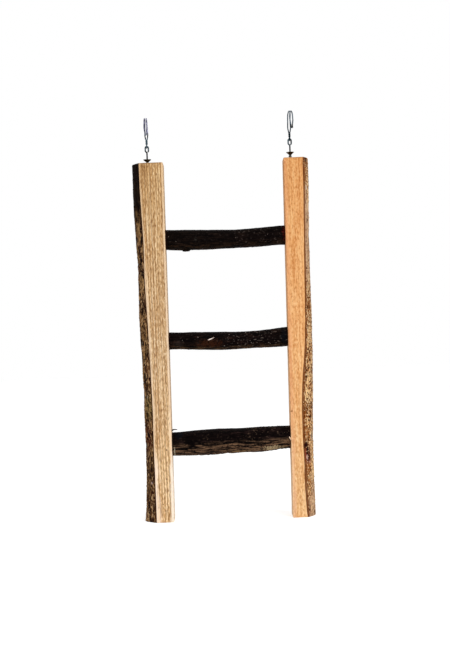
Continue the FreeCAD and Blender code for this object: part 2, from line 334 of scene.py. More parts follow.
def railRelief(spec, sign, points, spans):
    # relief in mm, the height of the bark alone, and how rough the bark is, for every point
    rows, columns, _ = points.shape
    first = spans["bark"].start
    last = spans["bark"].stop - 1
    relief, furrow, chips = np.zeros((3, rows, columns))
    steps = np.linalg.norm(np.diff(points[:, first:last + 1], axis=1), axis=2)
    barkAround = np.concatenate([np.zeros((rows, 1)), np.cumsum(steps, axis=1)], axis=1)
    for row in range(rows):
        height = points[row, 0, 2]
        for column in range(columns):
            if first <= column <= last:
                around = barkAround[row, column - first]
                ragged = height + railShape["patchSway"] * fineNoise(around / 7, height / 34, spec["seed"] + 3, 3)
                rough = float(np.interp(ragged, spec["heights"], spec["rough"]))
                rise = barkHeight(spec, around * sign + 40, height, rough)
                share = (column - first) / (last - first)
                calm = min(1.0, 0.25 + 9 * min(share, 1 - share))
                relief[row, column] = rise * calm - railShape["barkInset"]
                furrow[row, column] = rise
                chips[row, column] = rough * (0.02 < share < 0.98)
            else:
                x, y, _ = points[row, column]
                fuzz = fineNoise(x * 1.1, y * 1.1 + spec["seed"], height / 9, 2) * railShape["fuzz"]
                ripple = math.sin((height + 0.12 * x) / railShape["sawPitch"] * math.tau) * railShape["sawMark"]
                relief[row, column] = fuzz + ripple * (0.5 + 0.5 * fineNoise(x / 9, y / 9, height / 40, 1))
        for column in (0, first, last, spans["back"].stop - 1):
            wear = 1 + 0.9 * fineNoise(column, height / 5, spec["seed"], 3)
            relief[row, column] -= railShape["arrisWear"] * max(wear, 0.2)
    return relief, furrow, chips


def sinkSeats(side, points, relief, chips, seat):
    # seats of the screw heads in the bark's part of the grid, with their rims drawn to a true circle
    rimBand = railShape["rimBand"]
    for seatDepth, seatHeight, seatRadius in screwSeats(side):
        offset = points[:, :, 1:] - np.array([seatDepth, seatHeight])
        away = np.hypot(offset[:, :, 0], offset[:, :, 1])
        sunk = away < seatRadius - rimBand
        nearRim = np.abs(away - seatRadius) < rimBand
        justIn = sunk & (away > seatRadius - 2.5 * rimBand)
        for mask, target in ((nearRim, seatRadius + 0.05), (justIn, seatRadius - 0.08)):
            stretch = np.where(mask, target / np.maximum(away, 1e-6), 1.0)
            points[:, :, 1] = np.where(mask, seatDepth + offset[:, :, 0] * stretch, points[:, :, 1])
            points[:, :, 2] = np.where(mask, seatHeight + offset[:, :, 1] * stretch, points[:, :, 2])
        points[:, :, 0] -= sunk * railSign[side] * railShape["seatSink"]
        relief[sunk] = 0
        chips[away < seatRadius + 1.2] = 0
        seat += sunk


def makeRail(side, heights, inner, depths, bark):
    name = "rail_" + side + "_timber"
    spec = barkRelief[side]
    points, spans = railGrid(heights, inner, depths, bark)
    onFront, onBark, onBack, onInner = spans.values()
    normals = gridNormals(points, points.mean(axis=1, keepdims=True))
    relief, furrow, chips = railRelief(spec, railSign[side], points, spans)
    seat = np.zeros(relief.shape)
    sinkSeats(side, *(values[:, onBark] for values in (points, relief, chips, seat)))
    points += normals * relief[:, :, None]
    points[:, :, 2] = np.clip(points[:, :, 2], heights[0], heights[-1])

    def endRelief(end, spot, scale):
        outward = 1.0 if end == "last" else -1.0
        rise = 0.07 * fineNoise(spot[0] * 1.3, spot[1] * 1.3, spec["seed"] + outward, 3)
        level = min(rise, 0.04) - 0.06 + (0.0 if scale < 0.98 else -0.02)
        return np.array([0.0, 0.0, level * outward])

    # the end rims are worn back as the long corners are
    for row in (0, len(heights) - 1):
        points[row] -= normals[row] * railShape["arrisWear"] * 0.7
    piece, capStart = closedGrid(name, points * mm, railShape["capScales"],
                                 lambda end, spot, scale: endRelief(end, spot / mm, scale) * mm)

    across = np.zeros(relief.shape)
    across[:, onBark] = np.linspace(0, 1, len(depths))
    fromBark, fromInner = np.full((2, *relief.shape), railShape["noCorner"])
    fromBark[:, onFront] = np.abs(points[:, onFront, 0] - bark[:, :1])
    fromBark[:, onBark] = 0
    fromBark[:, onBack] = np.abs(points[:, onBack, 0] - bark[:, -1:])
    fromInner[:, onFront] = np.abs(points[:, onFront, 0] - inner[:, None])
    fromInner[:, onInner] = -(depths[-1] + points[:, onInner, 1])
    for label, values, rest in (("furrow", furrow, 0.0), ("across", across, 0.0), ("seat", seat, 0.0),
                                ("chips", chips, 0.0), ("fromBark", fromBark, railShape["noCorner"]),
                                ("fromInner", fromInner, railShape["noCorner"]), ("endGrain", 0 * seat, 1.0)):
        storeAttribute(piece, label, values, rest)
    for index, polygon in enumerate(piece.data.polygons):
        polygon.use_smooth = True
        if index < capStart and onBark.start <= index % relief.shape[1] < onBark.stop - 1:
            polygon.material_index = 1
    print(name, "built:", len(piece.data.polygons), "faces")
    return piece


# Rungs: branches in their bark

rungShape = {"rows": 240, "columns": 150, "castFrom": 0.03}      # castFrom: outside every rung, m
rungRelief = {
    "top": {"wrinkle": 0.18, "lump": 0.20, "grit": 0.08, "ragged": 0.30, "seed": 31.0, "chipsFrom": 8.0},
    "middle": {"wrinkle": 0.17, "lump": 0.18, "grit": 0.08, "ragged": 0.25, "seed": 47.0, "chipsFrom": 0.0},
    "bottom": {"wrinkle": 0.26, "lump": 0.22, "grit": 0.10, "ragged": 0.85, "seed": 59.0, "chipsFrom": 12.0},
}


def makeRung(which, innerFaces):
    name = "rung_" + which + "_branch"
    spec = rungRelief[which]
    seed = spec["seed"]
    surface = cadSurface("rung_" + which)
    levels = [sum(corner.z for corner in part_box("screw_%s_%s" % (which, side))) / 2 for side in ("left", "right")]
    ends = [float(np.interp(level / mm, *innerFaces[side])) * mm for level, side in zip(levels, ("left", "right"))]
    rows = rungShape["rows"]
    columns = rungShape["columns"]
    points = np.zeros((rows, columns, 3))
    for row in range(rows):
        share = row / (rows - 1)
        inside = min(max(share, 0.003), 0.997)
        x = ends[0] + (ends[1] - ends[0]) * inside
        axisHeight = levels[0] + (levels[1] - levels[0]) * share
        for column in range(columns):
            angle = math.tau * column / columns
            outward = Vector((0, math.sin(angle), math.cos(angle)))
            start = Vector((x, 0, axisHeight)) + outward * rungShape["castFrom"]
            hit = surface.ray_cast(start, -outward)[0]
            left = float(np.interp(hit.z / mm, *innerFaces["left"]))
            right = float(np.interp(hit.z / mm, *innerFaces["right"]))
            points[row, column] = (left + (right - left) * share, hit.y / mm, hit.z / mm)
    normals = gridNormals(points, points.mean(axis=1, keepdims=True))
    relief, chips = np.zeros((2, rows, columns))
    under = -normals[:, :, 2]
    for row in range(rows):
        for column in range(columns):
            x, y, z = points[row, column]
            down = max(0.0, under[row, column])
            wrinkle = 0.5 - abs(fineNoise(x / 16, y / 1.9 + seed, z / 1.9, 3))
            lump = fineNoise(x / 11, y / 8 + seed, z / 8, 2)
            grit = fineNoise(x / 1.5, y / 0.9, z / 0.9 + seed, 3)
            tear = max(0.0, fineNoise(x / 6, y / 5, z / 9 + seed, 3) - 0.10) * down ** 2
            relief[row, column] = (spec["wrinkle"] * wrinkle + spec["lump"] * lump + spec["grit"] * grit
                                   - spec["ragged"] * tear)
            chips[row, column] = (2 < row < rows - 3) * (1.0 if x > spec["chipsFrom"] else 0.25)
    points += normals * relief[:, :, None]
    piece, capStart = closedGrid(name, points * mm, (0.9, 0.6, 0.3), lambda end, spot, scale: np.zeros(3))
    endNear = np.minimum(np.arange(rows), np.arange(rows)[::-1])[:, None] * (ends[1] - ends[0]) / mm / rows
    for label, values in (("furrow", relief), ("under", under), ("chips", chips),
                          ("fromEnd", np.repeat(endNear, columns, axis=1))):
        storeAttribute(piece, label, values)
    for index, polygon in enumerate(piece.data.polygons):
        polygon.use_smooth = index < capStart
        polygon.material_index = 0 if index < capStart else 1
    print(name, "built:", len(piece.data.polygons), "faces")
    return piece


# Slivers: a lifted peel of bark, a splinter lying on a rung and a thorn of wood on the right rail

slivers = {
    "rung_bottom_peel": {
        "node": "rung_bottom", "slot": "rung_bark", "look": "bottom",
        "path": ((-47.0, -2.0, 68.6), (-45.6, -2.2, 70.6), (-44.2, -2.4, 71.5), (-41.4, -2.6, 71.3)),
        "taper": (0.9, 1.0, 1.0, 0.6), "width": 2.6, "thickness": 1.0, "wide": (0, 1, 0),
    },
    "rung_middle_splinter": {
        "node": "rung_middle", "slot": "rung_bark", "look": "splinter",
        "path": ((-15.2, 0.25, 140.3), (-13.4, -0.2, 140.9), (-10.8, -0.2, 141.8), (-9.0, 0.25, 142.5)),
        "taper": (0.3, 1.0, 0.6, 0.15), "width": 0.95, "thickness": 0.5, "wide": (0, 0, 1), "lies": True,
    },
    "rail_right_thorn": {
        "node": "rail_right", "slot": "rail_wood_right", "look": "thorn",
        "path": ((47.6, -9.6, 60.4), (46.6, -9.8, 61.6), (45.4, -9.9, 63.0)),
        "taper": (1.0, 0.9, 0.6, 0.15), "width": 1.9, "thickness": 0.9, "wide": (0.3, 0, 1),
    },
}


def makeSliver(name, spec):
    path = np.array(spec["path"], float)
    share = np.linspace(0, 1, 22)
    stations = np.linspace(0, 1, len(path))
    spine = np.stack([np.interp(share, stations, path[:, axis]) for axis in range(3)], axis=1)
    if spec.get("lies"):
        # heights over the surface become depths: the sliver lies on the front of its piece
        surface = cadSurface(spec["node"])
        for row, (x, over, z) in enumerate(spine):
            hit = surface.ray_cast(Vector((x, -30, z)) * mm, Vector((0, 1, 0)))[0]
            spine[row, 1] = hit.y / mm + over
    taper = np.interp(share, (0, 0.25, 0.7, 1), spec["taper"])
    wide = Vector(spec["wide"]).normalized()
    thick = wide.cross(Vector(path[-1] - path[0])).normalized()
    angles = np.linspace(0, math.tau, 12, endpoint=False)
    points = np.zeros((len(share), len(angles), 3))
    for row in range(len(share)):
        for column, angle in enumerate(angles):
            uneven = 1 + 0.35 * fineNoise(row * 0.4, math.cos(angle) * 2, math.sin(angle) * 2 + len(name), 2)
            ring = wide * math.cos(angle) * spec["width"] / 2 + thick * math.sin(angle) * spec["thickness"] / 2
            points[row, column] = spine[row] + np.array(ring) * taper[row] * uneven
    sliver, _ = closedGrid(name, points * mm, (0.5,), lambda end, spot, scale: np.zeros(3))
    for polygon in sliver.data.polygons:
        polygon.use_smooth = True
    return sliver


# Chips of bark and breathing pores, scattered over the bark along its grain: sizes in mm, chips per square mm,
# and the place of the middle tone between the dark and the pale one
chipShape = {"segments": 7, "rings": 4}
chipSets = {
    # the left rail's chip tones are darker as painted shade, and the right rail's paler as painted light, as on
    # their bark
    "rail_left": {"density": 0.10, "length": 1.7, "width": 0.9, "thickness": 0.50, "grain": (0, 0, 1), "seed": 5,
                  "darkHeights": (226, 254), "middle": 0.7,
                  "tones": ((26, 13, 7), (92, 60, 34), (196, 156, 110))},
    "rail_right": {"density": 0.20, "length": 1.5, "width": 1.05, "thickness": 0.42, "grain": (0, 0, 1), "seed": 9,
                   "middle": 0.55, "tones": ((56, 24, 9), (160, 108, 62), (232, 198, 150))},
    "rung_top": {"density": 0.04, "length": 1.1, "width": 0.7, "thickness": 0.26, "grain": (1, 0, 0), "seed": 14,
                 "middle": 0.75, "tones": ((8, 4, 3), (26, 18, 15), (112, 100, 92))},
    "rung_middle": {"density": 0.055, "length": 1.1, "width": 0.7, "thickness": 0.26, "grain": (1, 0, 0), "seed": 21,
                    "middle": 0.75, "tones": ((8, 4, 3), (28, 18, 14), (150, 138, 130))},
    "rung_bottom": {"density": 0.07, "length": 1.6, "width": 0.8, "thickness": 0.32, "grain": (1, 0, 0), "seed": 28,
                    "middle": 0.8, "tones": ((8, 4, 4), (26, 17, 14), (90, 70, 56))},
}


def scatterTree():
    tree = bpy.data.node_groups.new("bark_chips", "GeometryNodeTree")
    inputs = (("Geometry", "Geometry"), ("Density", "Float"), ("Length", "Float"), ("Width", "Float"),
              ("Thickness", "Float"), ("Grain", "Vector"), ("Seed", "Int"), ("Material", "Material"))
    for label, kind in inputs:
        tree.interface.new_socket(label, in_out="INPUT", socket_type="NodeSocket" + kind)
    tree.interface.new_socket("Geometry", in_out="OUTPUT", socket_type="NodeSocketGeometry")
    given = addNode(tree, "NodeGroupInput").outputs

    def chance(low, high, shift):
        inputs = {2: low, 3: high, 8: calc(tree, "ADD", given["Seed"], shift)}
        return addNode(tree, "FunctionNodeRandomValue", inputs, data_type="FLOAT").outputs[1]

    where = addNode(tree, "GeometryNodeInputNamedAttribute", {"Name": "chips"}, data_type="FLOAT").outputs[0]
    spread = addNode(tree, "GeometryNodeDistributePointsOnFaces", {
        "Mesh": given["Geometry"], "Density": times(tree, where, given["Density"]), "Seed": given["Seed"]})
    along = addNode(tree, "FunctionNodeAlignRotationToVector", {
        "Rotation": spread.outputs["Rotation"], "Vector": given["Grain"]}, axis="X", pivot_axis="Z")
    tilt = addNode(tree, "ShaderNodeCombineXYZ", {0: chance(-0.3, 0.3, 1), 1: chance(-0.22, 0.22, 2),
                                                  2: chance(-0.45, 0.45, 3)})
    turn = addNode(tree, "FunctionNodeEulerToRotation", {0: tilt.outputs[0]})
    turned = addNode(tree, "FunctionNodeRotateRotation", {
        "Rotation": along.outputs[0], "Rotate By": turn.outputs[0]}, rotation_space="LOCAL")
    size = addNode(tree, "ShaderNodeCombineXYZ", {
        0: times(tree, given["Length"], chance(0.45, 1.35, 4)),
        1: times(tree, given["Width"], chance(0.5, 1.3, 5)),
        2: times(tree, given["Thickness"], chance(0.6, 1.2, 6))})
    chip = addNode(tree, "GeometryNodeMeshUVSphere", {
        "Segments": chipShape["segments"], "Rings": chipShape["rings"], "Radius": 0.5 * mm})
    placed = addNode(tree, "GeometryNodeInstanceOnPoints", {
        "Points": spread.outputs["Points"], "Instance": chip.outputs["Mesh"], "Rotation": turned.outputs[0],
        "Scale": size.outputs[0]})
    toned = addNode(tree, "GeometryNodeStoreNamedAttribute", {
        "Geometry": placed.outputs[0], "Name": "tone", "Value": chance(0.0, 1.0, 7)},
        data_type="FLOAT", domain="INSTANCE")
    solid = addNode(tree, "GeometryNodeRealizeInstances", {"Geometry": toned.outputs[0]})
    smooth = addNode(tree, "GeometryNodeSetShadeSmooth", {"Geometry": solid.outputs[0]})
    painted = addNode(tree, "GeometryNodeSetMaterial", {
        "Geometry": smooth.outputs[0], "Material": given["Material"]})
    addNode(tree, "NodeGroupOutput", {"Geometry": painted.outputs[0]})
    return tree


def makeChips(tree, node, carrier):
    spec = chipSets[node]
    host = bpy.data.objects.new(node + "_host", carrier.data)
    bpy.context.scene.collection.objects.link(host)
    scatter = host.modifiers.new("scatter", "NODES")
    scatter.node_group = tree
    values = {label.capitalize(): spec[label] for label in ("length", "width", "thickness", "grain", "seed")}
    values.update({"Density": spec["density"] / mm ** 2, "Material": chipPaint(node)})
    for socket in tree.interface.items_tree:
        if socket.in_out == "INPUT" and socket.name in values:
            scatter[socket.identifier] = values[socket.name]
    bpy.context.view_layer.update()
    mesh = bpy.data.meshes.new_from_object(host.evaluated_get(bpy.context.evaluated_depsgraph_get()))
    bpy.data.objects.remove(host)
    foot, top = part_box("rail_left")
    for vertex in mesh.vertices:
        vertex.co.z = min(max(vertex.co.z, foot.z), top.z)      # no chip stands over the rails' ends
    chips = bpy.data.objects.new(node + "_chips", mesh)
    bpy.context.scene.collection.objects.link(chips)
    print(chips.name, "built:", len(mesh.polygons), "faces")
    return chips


def chipPaint(node):
    spec = chipSets[node]
    material, tree, shader = newMaterial(node + "_chips", 0.03)
    place = placeInMillimetres(tree)
    tone = attribute(tree, "tone")
    dark, middle, pale = spec["tones"]
    body = blend(tree, ramp(tree, tone, 0.0, spec["middle"]), dark, middle)
    body = lay(tree, body, pale, tone, spec["middle"], 1.0)
    grit = grainNoise(tree, place, 2.4, (1, 1, 1), 2.0)
    body = lay(tree, body, dark, grit, 0.42, 0.3, 0.6)
    if "darkHeights" in spec:
        body = lay(tree, body, dark, heightOf(tree, place), *spec["darkHeights"], 0.95)
    finish(tree, shader, body, grit, 0.15, ramp(tree, grit, 0.3, 0.7, 0.7, 0.95))
    return material


# Sawn wood

# noises: what they follow, cycles per mm, draw along the grain, detail, roughness, offset
woodGrain = {
    "ringTone": ("rings", 0.35, 0.02, 1.0, 0.5, 0),
    "broad": ("rings", 0.16, 0.10, 2.0, 0.5, 3),
    "fibre": ("wood", 4.2, 0.05, 3.0, 0.6, 11),
    "pore": ("wood", 2.6, 0.10, 2.0, 0.5, 17),
    "uneven": ("wood", 0.5, 0.12, 2.0, 0.5, 29),
    "worn": ("wood", 0.7, 0.05, 4.0, 0.6, 37),
}
# tones over the wood: tone, noise, where it starts and where it is full, and the name of its share
woodLayers = (("bright", "streak", 0.47, 0.37, "brightShare"), ("dark", "streak", 0.50, 0.62, "streakShare"),
              ("dark", "dash", 0.52, 0.66, "dashShare"), ("bright", "dash", 0.44, 0.34, "brightShare"))
# pale bands along a corner: distance used, least and greatest reach, then where they are full and gone, as shares
woodBands = (("edge", "fromInner", 0.7, 1.2, 0.6, 1.2), ("sap", "fromBark", 1.4, 0.4, 0.6, 1.3))
woodLook = {
    "left": {
        "pith": (22.0, -4.0, 0.0), "ringWidth": 1.9, "seed": 2.0,
        "pale": (218, 180, 130), "mid": (210, 166, 114), "dark": (120, 76, 36),
        "bright": (248, 220, 178), "brightShare": 0.9, "streakShare": 0.4, "dashShare": 0.7, "ringShare": 0.85,
        "poreShare": 0.5, "sway": 1.2,
        "grain": {"streak": ("rings", 1.0, 0.02, 2.0, 0.6, 7), "dash": ("wood", 1.6, 0.2, 2.0, 0.5, 9)},
        "tints": ((1.27, 1.26, 1.25, 1), (1.09, 1.11, 1.18, 1), (0.93, 0.87, 0.76, 1)),
        "edge": (246, 216, 180), "edgeLow": (252, 240, 220), "edgeWidth": 1.4, "edgeShare": 0.85,
        "sap": (236, 206, 170), "sapLow": (250, 228, 206), "sapWidth": 1.8, "sapShare": 0.75,
        "lowBands": (40, 58, 1.9), "cambium": (104, 62, 32), "cambiumWidth": 0.3,
        # the pale foot and top tones of the inner face are painted light, as this face turns toward the light
        "sideShare": 0.6, "sideHeights": (44, 60, 240, 262),
        "sideTones": ((250, 240, 226), (180, 156, 128), (214, 188, 158)),
        "spots": (((-49.9, -10.5, 56.4), (0.55, 2, 0.7), (84, 48, 24), 0.9),
                  ((-50.8, -10.5, 33.9), (0.5, 2, 0.8), (92, 56, 30), 0.85),
                  ((-54.3, -10.5, 14.2), (0.55, 2, 0.6), (96, 58, 30), 0.85),
                  ((-52.5, -10.5, 9.1), (0.5, 2, 0.6), (100, 62, 34), 0.85),
                  ((-57, -10.5, 279.9), (11, 2, 0.9), (140, 104, 68), 0.6)),
    },
    "right": {
        "pith": (-24.0, -5.0, 0.0), "ringWidth": 2.6, "seed": 8.0,
        "pale": (244, 186, 126), "mid": (228, 162, 100), "dark": (186, 112, 54),
        "bright": (250, 206, 152), "brightShare": 0.55, "streakShare": 0.4, "dashShare": 0.65, "ringShare": 0.12,
        "poreShare": 0.35, "sway": 2.5,
        "grain": {"streak": ("rings", 0.8, 0.05, 2.0, 0.6, 7), "dash": ("wood", 0.95, 0.42, 2.0, 0.5, 9)},
        "tints": ((1.13, 1.29, 1.45, 1), (1.04, 1.04, 1.02, 1), (0.90, 0.83, 0.72, 1)),
        "edge": (232, 166, 124), "edgeLow": (240, 184, 146), "edgeWidth": 3.0, "edgeShare": 0.4,
        "sap": (244, 186, 124), "sapLow": (250, 196, 140), "sapWidth": 1.9, "sapShare": 0.5,
        "lowBands": (38, 62, 1.0), "cambium": (112, 54, 8), "cambiumWidth": 0.75,
        # the greyer tones of the inner face are painted shade, as this face turns away from the light
        "sideShare": 0.5, "sideHeights": (40, 60, 180, 260),
        "sideTones": ((206, 184, 156), (196, 160, 120), (186, 140, 98)),
        "spots": (((48.3, -10.5, 82.9), (0.7, 2, 0.8), (150, 88, 44), 0.8),
                  ((60, -10.5, 279.9), (12, 2, 0.8), (176, 128, 84), 0.5)),
    },
}


def sawnWood(side):
    look = woodLook[side]
    seed = look["seed"]
    material, tree, shader = newMaterial("sawn_wood_" + side, 0.12)
    place = placeInMillimetres(tree)
    height = heightOf(tree, place)
    warp = vectorCalc(tree, "MULTIPLY_ADD", place, (0.06, 0.06, 0.016), (seed, seed, seed))
    sway = addNode(tree, "ShaderNodeTexNoise", {"Vector": warp, "Scale": 1.0, "Detail": 2.0}).outputs[1]
    fromPith = vectorCalc(tree, "ADD", place, look["pith"])
    swayed = vectorCalc(tree, "MULTIPLY_ADD", sway, (look["sway"], look["sway"], 0.0), fromPith)
    flat = vectorCalc(tree, "MULTIPLY", swayed, (1, 1, 0))
    radius = addNode(tree, "ShaderNodeVectorMath", {0: flat}, operation="LENGTH").outputs["Value"]
    inRing = calc(tree, "PINGPONG", calc(tree, "DIVIDE", radius, look["ringWidth"]), 0.5)
    lateWood = calc(tree, "POWER", inRing, 3.0)
    sources = {"rings": swayed, "wood": place}
    grain = {}
    for label, (source, pitch, draw, detail, roughness, offset) in {**woodGrain, **look["grain"]}.items():
        grain[label] = grainNoise(tree, sources[source], pitch, (1, 1, draw), detail, roughness, seed + offset)

    body = blend(tree, ramp(tree, grain["broad"], 0.3, 0.7), look["pale"], look["mid"])
    for tone, label, start, full, share in woodLayers:
        body = lay(tree, body, look[tone], grain[label], start, full, look[share])
    body = lay(tree, body, look["dark"], grain["ringTone"], 0.3, 0.6, 8 * look["ringShare"], lateWood)
    body = lay(tree, body, look["pale"], grain["fibre"], 0.55, 0.75, 0.3)

    # the pale bands are wider and paler near the foot; the last layer of bark is a dark line beside them
    low, high, widen = look["lowBands"]
    lowShare = ramp(tree, height, low, high, 1.0, 0.0)
    widening = ramp(tree, height, low, high, widen, 1.0)
    for band, distance, least, most, full, gone in woodBands:
        width = look[band + "Width"]
        reach = times(tree, ramp(tree, grain["uneven"], 0.3, 0.7, least * width, most * width), widening)
        away = calc(tree, "DIVIDE", attribute(tree, distance), reach)
        tone = blend(tree, lowShare, look[band], look[band + "Low"])
        body = lay(tree, body, tone, away, gone, full, look[band + "Share"])
    width = look["cambiumWidth"]
    reach = ramp(tree, grain["uneven"], 0.3, 0.7, 0.75 * width, 1.25 * width)
    away = calc(tree, "DIVIDE", attribute(tree, "fromBark"), reach)
    body = lay(tree, body, look["cambium"], away, 1.15, 0.85)

    # the inner face gets tones of its own along its height, some of them painted light and shade, and the marks of
    # the saw
    onSide = ramp(tree, attribute(tree, "fromInner"), -0.2, 0.05, 1.0, 0.0)
    low, lowEnd, high, highEnd = look["sideHeights"]
    foot, middle, top = look["sideTones"]
    sideTone = blend(tree, ramp(tree, height, low, lowEnd), foot, middle)
    sideTone = lay(tree, sideTone, top, height, high, highEnd)
    body = blend(tree, times(tree, onSide, look["sideShare"]), body, sideTone)
    body = lay(tree, body, look["mid"], grain["worn"], 0.47, 0.62, 0.75, onSide)
    saw = grainNoise(tree, place, 0.45, (0.1, 0.1, 1), 2.0, 0.5, seed + 41)
    body = lay(tree, body, look["dark"], saw, 0.52, 0.66, 0.25, onSide)
    body = lay(tree, body, look["dark"], grain["pore"], 0.62, 0.70, look["poreShare"])
    body = blend(tree, times(tree, attribute(tree, "endGrain"), 0.35), body, look["dark"])
    body = paintSpots(tree, place, body, look["spots"])
    foot, middle, top = look["tints"]
    tint = blend(tree, ramp(tree, height, 0, 140), foot, middle)
    tint = lay(tree, tint, top, height, 140, 280)
    body = blend(tree, 1.0, body, tint, "MULTIPLY")
    relief = calc(tree, "MULTIPLY_ADD", grain["fibre"], 0.6, times(tree, grain["streak"], 0.5))
    finish(tree, shader, body, relief, 0.12, ramp(tree, grain["fibre"], 0.3, 0.7, 0.62, 0.8))
    return material


# Bark of the rails: the left bark's tones are painted darker than the right's. This is painted shade on the side
# that faces away from the light, and the right bark's paler tones are painted light on the side that faces it

barkLook = {
    # tones painted darker: painted shade, as this bark faces away from the light
    "left": {
        "deep": (10, 3, 1), "body": (46, 24, 11), "worn": (158, 120, 76),
        "cambium": (60, 30, 12), "innerBark": 0.05,
        "second": (96, 42, 22), "secondShare": 0.5,
        # rim is a painted sheen, greyer and paler towards the back of the bark
        "rim": (84, 72, 62), "rimSheenFrom": 0.42, "rimSheenShare": 0.5,
        "fleck": (206, 168, 122), "fleckShare": 0.75, "fleckHeights": (205, 245), "darkHeights": (222, 252),
        "smooth": (66, 44, 26), "seed": 4.0, "pitShare": 0.9, "crest": 0.54, "speckle": (0.8, 0.4),
        "stains": (((-64.6, -9, 90), (5, 9, 8), (156, 130, 80), 0.65),
                   ((-65.5, -5, 66), (4, 9, 12), (96, 44, 24), 0.6),
                   ((-65, -8, 24), (7, 10, 30), (54, 24, 13), 0.6)),
        "spots": (((-64.5, -8, 97.7), (1.3, 4, 1.7), (226, 214, 188), 0.85),
                  ((-62.7, -9, 30.3), (0.9, 4, 1.5), (190, 164, 158), 0.8)),
    },
    # tones painted paler: painted light, as this bark faces the light
    "right": {
        "deep": (50, 20, 6), "body": (178, 106, 50), "worn": (255, 212, 152),
        "cambium": (116, 56, 10), "innerBark": 0.08,
        "second": (128, 72, 28), "secondShare": 0.6,
        # rim is a painted sheen, greyer and paler towards the back of the bark
        "rim": (196, 164, 130), "rimSheenFrom": 0.3, "rimSheenShare": 0.5,
        "fleck": (246, 216, 170), "fleckShare": 0.9, "fleckHeights": (290, 300), "darkHeights": (400, 401),
        "smooth": (216, 178, 142), "seed": 12.0, "pitShare": 0.95, "crest": 0.50, "speckle": (0.85, 0.75),
        "stains": (((66, -6, 268), (6, 9, 16), (148, 90, 48), 0.45),
                   ((66, -6, 184), (6, 9, 38), (150, 98, 60), 0.35)),
        "spots": (((66.9, -9, 278), (1.6, 6, 2.4), (52, 26, 16), 0.95),
                  ((65.7, -9, 268), (1.2, 6, 8), (120, 70, 34), 0.7),
                  ((66.9, -9, 256.5), (1, 4, 2.2), (226, 206, 182), 0.8),
                  ((59.8, -9, 49.6), (3.2, 9, 7.6), (140, 62, 46), 0.8),
                  ((58.4, -9, 55.6), (2.5, 6, 2.7), (40, 10, 8), 1),
                  ((60.3, -9, 51), (1.9, 6, 4), (30, 6, 6), 1),
                  ((60.6, -9, 46.2), (2, 6, 3.2), (44, 12, 13), 1),
                  ((59.2, -9, 46.4), (0.8, 5, 1.6), (224, 178, 166), 0.7),
                  ((61.2, -9, 42.4), (0.9, 5, 1), (210, 164, 156), 0.8)),
    },
}


def railBark(side):
    look = barkLook[side]
    seed = look["seed"]
    deep = look["deep"]
    crestLevel = look["crest"]
    material, tree, shader = newMaterial("rail_bark_" + side, 0.03)
    place = placeInMillimetres(tree)
    height = heightOf(tree, place)
    across = attribute(tree, "across")
    rough = attribute(tree, "chips")
    stripes = grainNoise(tree, place, 0.9, (1, 1, 0.22), 4.0, 0.65, seed)
    patches = grainNoise(tree, place, 0.16, (1, 1, 0.4), 4.0, 0.6, seed + 5)
    pitch, draw = look["speckle"]
    speckle = grainNoise(tree, place, pitch, (1, 1, draw), 2.0, 0.5, seed + 9)
    fine = grainNoise(tree, place, 3.0, (1, 1, 0.6), 3.0, 0.6, seed + 15)

    # ridges are worn pale; furrows are dark, partly the bark's own colour and partly painted shade following the
    # relief; both come and go in patches
    crest = calc(tree, "MULTIPLY_ADD", stripes, 0.9, attribute(tree, "furrow"))
    body = blend(tree, ramp(tree, crest, crestLevel - 0.06, crestLevel + 0.10), look["body"], look["worn"])
    body = lay(tree, body, look["second"], patches, 0.46, 0.62, look["secondShare"])
    body = lay(tree, body, look["smooth"], rough, 0.75, 0.3, 0.8)
    # painted sheen: the bark is toned greyer and paler towards the back, where it curves away
    body = lay(tree, body, look["rim"], across, look["rimSheenFrom"], look["rimSheenFrom"] + 0.25, look["rimSheenShare"])
    body = paintSpots(tree, place, body, look["stains"])
    strength = ramp(tree, rough, 0.2, 0.8, 0.45, 1.0)
    patchy = calc(tree, "SUBTRACT", patches, 0.5)
    mottled = calc(tree, "MULTIPLY_ADD", patchy, 0.45, speckle)
    flecked = times(tree, strength, ramp(tree, height, *look["fleckHeights"], 1.0, 0.1))
    body = lay(tree, body, look["fleck"], mottled, 0.58, 0.63, look["fleckShare"], flecked)
    body = lay(tree, body, deep, speckle, 0.45, 0.38, look["pitShare"], strength)
    # furrows darkened: partly the bark's own colour, partly painted shade in the low relief
    body = lay(tree, body, deep, crest, crestLevel - 0.12, crestLevel - 0.30, 0.92)
    fromWood = calc(tree, "MULTIPLY_ADD", stripes, 0.05, across)
    body = lay(tree, body, look["cambium"], fromWood, look["innerBark"] * 1.6, look["innerBark"], 0.85)
    body = paintSpots(tree, place, body, look["spots"])
    body = lay(tree, body, deep, calc(tree, "MULTIPLY_ADD", patchy, 60.0, height), *look["darkHeights"], 0.93)
    # painted shade: the sunk seats under the screw heads are painted near black
    body = blend(tree, times(tree, attribute(tree, "seat"), 0.85), body, deep)
    relief = calc(tree, "MULTIPLY_ADD", speckle, 0.8, times(tree, fine, 0.5))
    finish(tree, shader, body, relief, 0.3, ramp(tree, fine, 0.3, 0.7, 0.65, 0.9))
    return material


# Bark of the rungs

